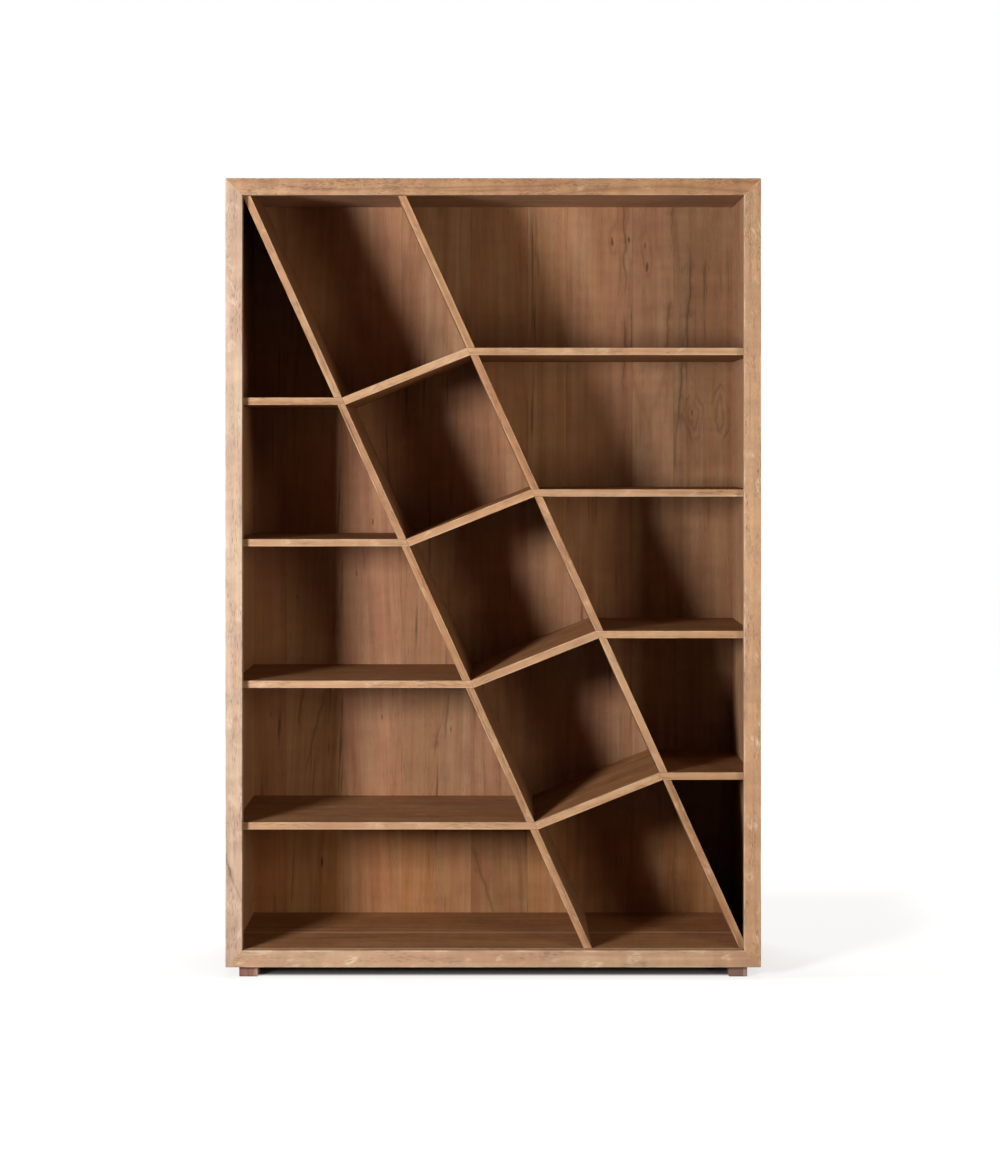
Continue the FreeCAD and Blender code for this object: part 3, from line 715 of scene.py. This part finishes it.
FRAME_COMMON = dict(
    pith=HEART_ASKEW, streaks=0.25, ripple=0.07, pores=0.5, flecks=0.5, wear=0.6, specular=0.3)
FRAME_LOOKS = {
    # The left stile's paler, greyer colour is partly its wood and partly a painted sheen from the left lamp
    "frame_left_stile": dict(
        tone=-0.4, flecks=0.15, level=0.96, saturation=0.8,
        veins=(Vein(-0.583, 0.232, slope=-0.313, reach=0.1, width=0.002, depth=0.8),)),
    "frame_right_stile": dict(
        tone=0.6, rosy=0.0, blush=0.15, flecks=0.45, ripple=0.09, level=1.07, saturation=0.92),
    "frame_top_rail": dict(tone=0.8, rings=0.6, flecks=0.55, ripple=0.09, level=0.88, wear=0.35),
    "frame_bottom_rail": dict(tone=0.35, rosy=0.35, flecks=0.2, wear=0.8, saturation=0.93),
}

WIDE_BOARD = dict(stave_width=0.12, pith=HEART_BESIDE)

CARCASS_COMMON = dict(WIDE_BOARD, oil=0.5)
OUTSIDE = dict(pores=0.2, level=1.05, specular=0.12)
CARCASS_LOOKS = {
    "left_side": OUTSIDE,
    "right_side": OUTSIDE,
    "top_panel": dict(OUTSIDE, level=1.22, saturation=0.93),
    "bottom_panel": dict(
        stave_width=0.25, first_seam=-0.026, pale_seam=True, seam_width=0.012, seam_depth=0.6, oil=0.6,
        inside_saturation=1.1),
}

SHELF_COMMON = dict(
    WIDE_BOARD, tone=0.45, rosy=0.15, blush=0.2, rings=0.25, streaks=0.35, wear=0.4, oil=0.63,
    level=1.05, saturation=0.97, inside_saturation=1.13)
SHELF_LOOKS = {f"shelf_{level}_{part}": {} for level in range(1, 5) for part in ("left", "middle", "right")}
SHELF_LOOKS["shelf_1_left"] = dict(tone=0.8, level=0.92)
SHELF_LOOKS["shelf_2_left"] = dict(level=0.98)
SHELF_LOOKS["shelf_4_left"] = dict(tone=0.2, level=1.07)
SHELF_LOOKS["shelf_4_right"] = dict(tone=0.8, level=0.95)

DIVIDER_COMMON = dict(
    WIDE_BOARD, tone=0.6, rosy=0.25, blush=0.35, rings=0.3, streaks=0.5, mineral=0.6,
    ripple=0.08, wear=0.4, level=0.96)
# The right dividers get less painted shade than the left ones, so their lamp-lit left faces are painted
# lighter
DIVIDER_OIL = {"left": 0.7, "right": 0.41}
DIVIDER_LOOKS = {f"{side}_divider_{length}": dict(oil=oil)
                 for side, oil in DIVIDER_OIL.items() for length in range(1, 6)}

# Low on the back boards, painted shade darkens some boards and deepens their colour
BACK_COMMON = dict(
    mineral=0.75, oil=0.53, pores=0.08, flecks=0.05, streaks=0.26, rings=0.3, low_saturation=1.1)
BACK_LOOKS = {
    "back_board_1": dict(tone=0.9, rosy=0.5, level=1.17, knots=(Knot(-0.539, 0.546, depth=0.4),)),
    "back_board_2": dict(
        tone=0.7, rosy=0.0, blush=0.1, level=1.15, lean=-2.5, mineral=0.9,
        knots=(Knot(-0.415, 0.186, size=0.005, depth=0.7), Knot(-0.476, 0.829)),
        veins=(Vein(-0.412, 0.512, slope=0.2, reach=0.12), Vein(-0.448, 0.56, slope=0.1, reach=0.06))),
    "back_board_3": dict(
        tone=0.3, rosy=0.6, level=1.2, low_level=0.8, lean=2.0, mineral=0.8,
        knots=(Knot(-0.292, 1.011, size=0.0035), Knot(-0.331, 0.885), Knot(-0.27, 0.537))),
    "back_board_4": dict(
        level=1.03, lean=-1.5, knots=(Knot(-0.103, 0.51),),
        veins=(Vein(-0.1, 0.55, slope=0.1, reach=0.07),
               Vein(-0.118, 0.52, slope=0.12, reach=0.1, depth=0.45))),
    "back_board_5": dict(
        rosy=0.4, level=1.05, low_level=0.84, lean=1.0, mineral=0.5,
        veins=(Vein(-0.036, 0.135, slope=-0.3, reach=0.12, width=0.0045, depth=0.38),)),
    "back_board_6": dict(rosy=0.2, blush=0.2, level=1.08),
    "back_board_7": dict(
        tone=0.4, rosy=0.5, level=0.98,
        knots=(Knot(0.288, 1.69, size=0.0045, depth=0.6), Knot(0.329, 1.695, size=0.004, depth=0.6)),
        veins=(Vein(0.319, 1.585, reach=0.34, width=0.0045), Vein(0.338, 1.47, reach=0.18, depth=0.55))),
    "back_board_8": dict(
        tone=0.25, level=0.96, saturation=1.03, streaks=0.16, mineral=0.4,
        knots=(Knot(0.368, 1.68, size=0.0035, depth=0.6), Knot(0.373, 1.629, size=0.0045, depth=0.6)),
        veins=(Vein(0.4305, 1.585, slope=0.041, reach=0.34, width=0.0045),)),
    "back_board_9": dict(
        rosy=0.2, level=0.81, saturation=1.03, mineral=0.4,
        knots=(Knot(0.482, 1.275),),
        veins=(Vein(0.472, 1.5, slope=0.016, reach=0.2, width=0.004),
               Vein(0.452, 1.31, slope=0.068, reach=0.2, width=0.004)),
        ovals=(Oval(0.485, 1.272, width=0.022, height=0.068),
               Oval(0.548, 1.262, width=0.021, height=0.076))),
}


# The teak: how far a stave's figure is moved, and how far its tone swings

STAVE_SHIFT = (1.5, 0.0, 0.05)
STAVE_TONE = 0.2

# How far the rubbing of the arrises reaches, and where it shows

RUBBED_REACH = (0.0006, 0.0035)
RUBBED_PATCHES = Grain((14, 40, 40), 0.42, 0.62, detail=3)

# How deep inside the case the painted shade is full, and how far behind the front the edges stay free of it

OILED_SKIN = 0.0006
SANDED_DEPTH = 0.006

# Heights over which the painted shade low on a board gives way to the board's own look

LOW_PART = (0.24, 0.40)

OVAL_DEPTH = 0.34
PORE_DEPTH = 1.6
TEAK_ROUGHNESS = (0.62, 0.48)


def worn_mask(graph, where, half, seed):
    """Where the arrises are rubbed and the faces are scuffed."""
    arris = graph.group(box_depth, vector=where, half_size=half)["Arris"]
    rubbed = graph.times(graph.fall(arris, *RUBBED_REACH), graph.grain(where, RUBBED_PATCHES))
    scuffs = graph.group(worn_flecks, vector=where, seed=seed)["Mask"]
    return graph.math("MAXIMUM", rubbed, scuffs)


def oiled_mask(graph, in_case):
    """The inside of the case, where painted shade darkens the boards, but not the front edges and the
    outside.
    """
    low, high = case_inside()
    in_space = graph.vector("SUBTRACT", in_case, tuple((low + high) / 2))
    depth = graph.group(box_depth, vector=in_space, half_size=tuple((high - low) / 2))["Depth"]
    behind = graph.math("SUBTRACT", graph.split(in_case)[1], low.y)
    return graph.times(graph.step(depth, 0.0, OILED_SKIN), graph.step(behind, 0.0, SANDED_DEPTH))


def teak_material(node, look):
    """Oiled teak with the grain along one board, and that board's own figure."""
    teak = bpy.context.scene.bookshelf_teak
    material, graph = new_graph(f"teak_{node}")
    low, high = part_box(node)
    centre = (low + high) / 2
    turn = grain_turn(node)
    in_case = graph.place()
    where = graph.turn(graph.vector("SUBTRACT", in_case, tuple(centre)), turn + math.radians(look.lean))

    # Knots push the rings aside, and each stave has its own figure
    swell = 0.0
    cores = []
    for knot in look.knots:
        drawn = graph.group(small_knot, vector=in_case, place=(knot.x, low.y, knot.z), size=knot.size)
        swell = graph.math("ADD", drawn["Swell"], swell)
        cores.append(graph.times(drawn["Core"], knot.depth))
    figured = where
    if look.stave_width:
        staves = graph.group(glued_staves, vector=where, stave_width=look.stave_width,
                             first_seam=look.first_seam, seam_width=look.seam_width, seed=look.seed)
        figured = graph.vector("ADD", where, graph.vector("MULTIPLY", staves["Shift"], STAVE_SHIFT))
    figure = graph.group(teak_figure, vector=figured, seed=look.seed, pith=look.pith,
                         ring_width=teak.ring_width, swell=swell)

    # The colour of the wood, then its figure from the broad to the fine
    tone = graph.span(figure["Bands"], look.tone - look.bands / 2, look.tone + look.bands / 2)
    if look.stave_width:
        tone = graph.math("ADD", tone, graph.span(staves["Tone"], -STAVE_TONE, STAVE_TONE))
    colour = graph.mix(tone, teak.pale, teak.warm)
    blush = graph.span(figure["Blush"], look.rosy - look.blush, look.rosy + look.blush)
    colour = graph.mix(blush, colour, teak.rose)
    tints = {"rings": teak.dark, "streaks": teak.dark, "mineral": teak.vein, "flecks": teak.dark,
             "pores": teak.vein}
    for part, tint in tints.items():
        colour = graph.mix(graph.times(figure[part.title()], getattr(look, part)), colour, tint)
    if look.stave_width:
        seam_colour = teak.worn if look.pale_seam else teak.vein
        colour = graph.mix(graph.times(staves["Seam"], look.seam_depth), colour, seam_colour)

    # Single marks, and wear over them
    for number, vein in enumerate(look.veins):
        middle = vein.z - centre.z
        line = graph.group(dark_vein, vector=where, seed=look.seed + number, slant=-vein.slope,
                           width=vein.width, place=centre.x - vein.x + vein.slope * middle,
                           middle=middle, reach=vein.reach)["Mask"]
        colour = graph.mix(graph.times(line, vein.depth), colour, teak.vein)
    for oval in look.ovals:
        lines = graph.group(pointed_oval, vector=in_case, place=(oval.x, low.y, oval.z),
                            half_size=(oval.width, 1.0, oval.height))["Mask"]
        colour = graph.mix(graph.times(lines, OVAL_DEPTH), colour, teak.vein)
    for core in cores:
        colour = graph.mix(core, colour, teak.vein)
    if look.wear:
        worn = worn_mask(graph, where, half_size(node, centre, turn), look.seed)
        colour = graph.mix(graph.times(worn, look.wear), colour, teak.worn)

    # Painted shade on the inside of the case and low down on the boards, and the level and saturation of
    # the whole
    oiled = oiled_mask(graph, in_case)
    colour = graph.mix(graph.times(oiled, look.oil), colour, teak.oil, "MULTIPLY")
    # Painted shade low down: some boards darker and more saturated near the bottom of the case
    above = graph.step(graph.split(in_case)[2], *LOW_PART)
    level = graph.span(figure["Ripple"], look.level - look.ripple, look.level + look.ripple)
    level = graph.times(level, graph.span(above, look.low_level, 1.0))
    saturation = graph.span(oiled, look.saturation, look.saturation * look.inside_saturation)
    saturation = graph.times(saturation, graph.span(above, look.low_saturation, 1.0))
    colour = graph.shade(colour, saturation, level)

    height = graph.math("SUBTRACT", figure["Streaks"], graph.times(figure["Pores"], PORE_DEPTH))
    rough = graph.span(figure["Streaks"], *TEAK_ROUGHNESS)
    finish_shader(graph, colour, rough, height, teak.relief, look.specular)
    return material


def finish_boards(looks, common, first_seed, ease_width):
    """Eases and dresses boards that share most of their look, each with its own seed and changes."""
    for seed, (node, own) in enumerate(looks.items(), first_seed):
        ease(node, ease_width)
        dress(node, teak_material(node, Look(seed, **{**common, **own})))


# Operators


class BOOKSHELF_OT_face_frame(bpy.types.Operator):
    """Finish the stiles and rails of the mitred face frame"""

    bl_idname = "bookshelf.face_frame"
    bl_label = "Face Frame"

    def execute(self, context):
        finish_boards(FRAME_LOOKS, FRAME_COMMON, FRAME_SEED, context.scene.bookshelf_edges.frame_ease)
        return {"FINISHED"}


class BOOKSHELF_OT_carcass(bpy.types.Operator):
    """Finish the sides, the top and the bottom of the carcass"""

    bl_idname = "bookshelf.carcass"
    bl_label = "Carcass"

    def execute(self, context):
        finish_boards(CARCASS_LOOKS, CARCASS_COMMON, CARCASS_SEED, context.scene.bookshelf_edges.board_ease)
        return {"FINISHED"}


class BOOKSHELF_OT_shelves(bpy.types.Operator):
    """Finish the level and the climbing boards of the shelves"""

    bl_idname = "bookshelf.shelves"
    bl_label = "Shelves"

    def execute(self, context):
        finish_boards(SHELF_LOOKS, SHELF_COMMON, SHELF_SEED, context.scene.bookshelf_edges.board_ease)
        return {"FINISHED"}


class BOOKSHELF_OT_dividers(bpy.types.Operator):
    """Finish the lengths of the two leaning dividers"""

    bl_idname = "bookshelf.dividers"
    bl_label = "Dividers"

    def execute(self, context):
        finish_boards(DIVIDER_LOOKS, DIVIDER_COMMON, DIVIDER_SEED, context.scene.bookshelf_edges.board_ease)
        return {"FINISHED"}


class BOOKSHELF_OT_back(bpy.types.Operator):
    """Finish the upright boards of the back"""

    bl_idname = "bookshelf.back"
    bl_label = "Back"

    def execute(self, context):
        finish_boards(BACK_LOOKS, BACK_COMMON, BACK_SEED, context.scene.bookshelf_edges.back_ease)
        return {"FINISHED"}


# The paler strip of a foot: its share of the width, its edge and its seam

FOOT_STRIP_SHARE = 0.24
FOOT_STRIP_EDGE = 0.0005
FOOT_SEAM = (0.0003, 0.0012)
FOOT_SEAM_DEPTH = 0.8

# The figure of a foot, and the painted shade that makes the right-hand feet darker

FOOT_PITH = (0.0, 0.03, 0.01)
FOOT_RING_WIDTH = 0.005
FOOT_RING_DEPTH = 0.5
FOOT_STREAK_DEPTH = 0.35
FOOT_DARK_SHARE = 0.45
FOOT_ROUGHNESS = (0.7, 0.55)
FOOT_RELIEF = 0.0003
FOOT_SPECULAR = 0.35
RIGHT_FOOT_LEVEL = 0.85


def foot_material(node, seed):
    """Reddish block wood with a paler strip glued to its right-hand side."""
    colours = bpy.context.scene.bookshelf_joinery
    material, graph = new_graph(f"foot_wood_{node}")
    low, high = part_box(node)
    where = graph.vector("SUBTRACT", graph.place(), tuple(low))
    upright = graph.turn(where, math.radians(90))
    figure = graph.group(teak_figure, vector=upright, seed=seed, pith=FOOT_PITH, ring_width=FOOT_RING_WIDTH,
                         swell=0.0)
    strip = (high.x - low.x) * (1 - FOOT_STRIP_SHARE)
    across = graph.split(where)[0]
    paler = graph.step(across, strip, strip + FOOT_STRIP_EDGE)
    seam = graph.math("ABSOLUTE", graph.math("SUBTRACT", across, strip))
    seam = graph.times(graph.fall(seam, *FOOT_SEAM), FOOT_SEAM_DEPTH)
    dark = tuple(channel * FOOT_DARK_SHARE for channel in colours.foot)
    colour = graph.mix(paler, colours.foot, colours.foot_strip)
    rings = graph.times(figure["Rings"], FOOT_RING_DEPTH)
    shade = graph.math("ADD", rings, graph.times(figure["Streaks"], FOOT_STREAK_DEPTH))
    colour = graph.mix(graph.math("MAXIMUM", shade, seam), colour, dark)
    # Painted shade darkens and greys the right-hand feet
    level = RIGHT_FOOT_LEVEL if "right" in node else 1.0
    colour = graph.shade(colour, level, level)
    rough = graph.span(figure["Streaks"], *FOOT_ROUGHNESS)
    finish_shader(graph, colour, rough, figure["Streaks"], FOOT_RELIEF, FOOT_SPECULAR)
    return material


class BOOKSHELF_OT_feet(bpy.types.Operator):
    """Finish the four block feet"""

    bl_idname = "bookshelf.feet"
    bl_label = "Feet"

    def execute(self, context):
        for seed, node in enumerate(FEET, FOOT_SEED):
            ease(node, context.scene.bookshelf_edges.foot_ease)
            dress(node, foot_material(node, seed))
        return {"FINISHED"}


DOWEL_FIBRES = Grain((300, 300, 300), 0.35, 0.75, detail=3)
SCREW_CLOUDS = Grain((700, 700, 700), 0.35, 0.7, detail=3)


def joinery_material(name, colour, grain, dark_share, roughness, relief, specular, metallic=0.0):
    """A plain material with one noise in its colour, its sheen and its relief."""
    material, graph = new_graph(name)
    noise = graph.noise(graph.place(), grain.swings, grain.detail)
    dark = tuple(channel * dark_share for channel in colour)
    tint = graph.mix(graph.step(noise, grain.low, grain.high), colour, dark)
    shader = finish_shader(graph, tint, graph.span(noise, *roughness), noise, relief, specular)
    shader.inputs["Metallic"].default_value = metallic
    return material


class BOOKSHELF_OT_joinery(bpy.types.Operator):
    """Finish the dowels, biscuits, splines and screws"""

    bl_idname = "bookshelf.joinery"
    bl_label = "Joinery"

    def execute(self, context):
        colours = context.scene.bookshelf_joinery
        wood = joinery_material(
            "dowel_wood", colours.dowel, DOWEL_FIBRES, dark_share=0.6, roughness=(0.75, 0.6),
            relief=0.0002, specular=0.25)
        steel = joinery_material(
            "screw_steel", colours.screw, SCREW_CLOUDS, dark_share=0.65, roughness=(0.28, 0.5),
            relief=0.00005, specular=0.5, metallic=1.0)
        for nodes, material in ((WOODEN_JOINERY, wood), (SCREWS, steel)):
            for node in nodes:
                close(node)
                dress(node, material)
        return {"FINISHED"}


# Lamps for the outside: where they stand and point, and their width and height

REAR_LAMP = dict(place=(0, 1.6, 3.0), aim=(0, 0.3, 1.0), size=(2.0, 1.5))
SIDE_LAMP = dict(place=(2.8, 0.8, 0.95), aim=(0.6, 0, 0.9), size=(0.9, 1.5))


def area_lamp(name, power, place, aim, size, tint=(1, 1, 1)):
    """A soft lamp that faces a point."""
    lamp = bpy.data.lights.new(name, "AREA")
    lamp.shape = "RECTANGLE"
    lamp.size, lamp.size_y = size
    lamp.energy = power
    lamp.color = tint
    stand = bpy.data.objects.new(name, lamp)
    stand.location = place
    stand.rotation_euler = (Vector(aim) - Vector(place)).to_track_quat("-Z", "Y").to_euler()
    stand.visible_camera = False
    bpy.context.scene.collection.objects.link(stand)


def seen_directly(graph):
    """1 for the rays that show a thing itself, straight or through a reflection or glass."""
    rays = graph.add("ShaderNodeLightPath").outputs
    kinds = ("Is Camera Ray", "Is Glossy Ray", "Is Transmission Ray")
    return graph.math("MAXIMUM", *(rays[kind] for kind in kinds))


FLOOR_REACH = 12.0

# The floor's glow near the case, and the light it throws back to the eye, less in the painted shadow under
# the case

FLOOR_NEAR_LEVEL = 0.69
FLOOR_SEEN_BOUNCE = 0.38
FLOOR_UNDER_BOUNCE = 0.2

# The painted shadow on the footprint under the case, and how far from it the floor turns white

FOOTPRINT_INSET = 0.035
FOOTPRINT_BLUR = 0.012
WHITE_BESIDE = (0.4, 0.95)
WHITE_IN_FRONT = (0.0, 0.12)


def floor_material(bounce):
    """White ground with a painted shadow under the case, which keeps the case's cast shadow beside it."""
    material, graph = new_graph("white_floor")
    low, high = CAD_BOX
    half = ((high.x - low.x) / 2 - FOOTPRINT_INSET, (high.y - low.y) / 2 - FOOTPRINT_INSET)
    place = graph.place()
    x, y, _ = graph.split(graph.vector("ABSOLUTE", place))
    outside = graph.math("MAXIMUM", graph.math("SUBTRACT", x, half[0]), graph.math("SUBTRACT", y, half[1]))
    in_front = graph.math("SUBTRACT", -half[1], graph.split(place)[1])
    white = graph.math("MAXIMUM", graph.step(outside, *WHITE_BESIDE), graph.step(in_front, *WHITE_IN_FRONT))
    seen = seen_directly(graph)
    # Painted shadow under the case: no glow there, and a darker floor to the eye
    clear = graph.step(outside, -FOOTPRINT_BLUR, FOOTPRINT_BLUR)
    level = graph.times(graph.span(white, FLOOR_NEAR_LEVEL, 1.0), clear, seen)
    seen_bounce = graph.span(clear, FLOOR_UNDER_BOUNCE, FLOOR_SEEN_BOUNCE)
    shade = graph.mix(seen, (bounce, bounce, bounce), seen_bounce)
    paint = graph.add("ShaderNodeBsdfDiffuse", {"Color": shade}).outputs[0]
    glow = graph.add("ShaderNodeEmission", {"Color": (1, 1, 1, 1), "Strength": level}).outputs[0]
    both = graph.add("ShaderNodeAddShader", {0: paint, 1: glow}).outputs[0]
    graph.add("ShaderNodeOutputMaterial", {"Surface": both})
    return material


class BOOKSHELF_OT_stage(bpy.types.Operator):
    """Set up the white floor, the lamps and the camera"""

    bl_idname = "bookshelf.stage"
    bl_label = "Stage"

    def execute(self, context):
        scene = context.scene
        studio = scene.bookshelf_studio

        lens = bpy.data.cameras.new("front_camera")
        lens.lens = studio.lens
        lens.shift_x, lens.shift_y = studio.shift
        camera = bpy.data.objects.new("front_camera", lens)
        camera.location = studio.camera_place
        camera.rotation_euler = (math.radians(90), 0, 0)
        scene.collection.objects.link(camera)
        scene.camera = camera

        area_lamp("key", studio.key_power, studio.key_place, (0, 0, studio.key_place[2]), studio.key_size)
        area_lamp("fill", studio.fill_power, studio.fill_place, (0, 0, studio.fill_place[2]),
                  studio.fill_size, studio.fill_tint)
        area_lamp("rear_lamp", studio.rear_power, **REAR_LAMP)
        area_lamp("side_lamp", studio.side_power, **SIDE_LAMP)

        ground = bpy.data.meshes.new("floor")
        corners = ((-1, -1), (1, -1), (1, 1), (-1, 1))
        ground.from_pydata([(x * FLOOR_REACH, y * FLOOR_REACH, 0) for x, y in corners], [], [(0, 1, 2, 3)])
        ground.materials.append(floor_material(studio.floor_bounce))
        floor = bpy.data.objects.new("floor", ground)
        scene.collection.objects.link(floor)

        world = bpy.data.worlds.new("white_room")
        world.use_nodes = True
        world.node_tree.nodes.clear()
        graph = Graph(world.node_tree)
        level = graph.span(seen_directly(graph), studio.room_level, 1.0)
        sky = graph.add("ShaderNodeBackground", {"Color": (1, 1, 1, 1), "Strength": level}).outputs[0]
        graph.add("ShaderNodeOutputWorld", {"Surface": sky})
        scene.world = world
        scene.view_settings.view_transform = "Standard"
        return {"FINISHED"}


OPERATORS = (
    BOOKSHELF_OT_face_frame,
    BOOKSHELF_OT_carcass,
    BOOKSHELF_OT_shelves,
    BOOKSHELF_OT_dividers,
    BOOKSHELF_OT_back,
    BOOKSHELF_OT_feet,
    BOOKSHELF_OT_joinery,
    BOOKSHELF_OT_stage,
)


class BOOKSHELF_PT_steps(bpy.types.Panel):
    """Steps that finish the bookshelf, in their order"""

    bl_idname = "BOOKSHELF_PT_steps"
    bl_label = "Bookshelf"
    bl_space_type = "VIEW_3D"
    bl_region_type = "UI"
    bl_category = "Bookshelf"

    def draw(self, context):
        for operator in OPERATORS:
            self.layout.operator(operator.bl_idname)


SETTINGS = {
    "bookshelf_teak": TeakSettings,
    "bookshelf_joinery": JoinerySettings,
    "bookshelf_edges": EdgeSettings,
    "bookshelf_studio": StudioSettings,
}
CLASSES = (*SETTINGS.values(), *OPERATORS, BOOKSHELF_PT_steps)


def register():
    """Registers the classes and hangs the settings on the scene."""
    for cls in CLASSES:
        bpy.utils.register_class(cls)
    for name, cls in SETTINGS.items():
        setattr(bpy.types.Scene, name, bpy.props.PointerProperty(type=cls))


def unregister():
    """Takes the settings and classes away again."""
    for name in SETTINGS:
        delattr(bpy.types.Scene, name)
    for cls in reversed(CLASSES):
        bpy.utils.unregister_class(cls)


def main():
    """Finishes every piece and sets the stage."""
    register()
    bpy.ops.bookshelf.face_frame()
    bpy.ops.bookshelf.carcass()
    bpy.ops.bookshelf.shelves()
    bpy.ops.bookshelf.dividers()
    bpy.ops.bookshelf.back()
    bpy.ops.bookshelf.feet()
    bpy.ops.bookshelf.joinery()
    bpy.ops.bookshelf.stage()


if __name__ == "__main__":
    main()
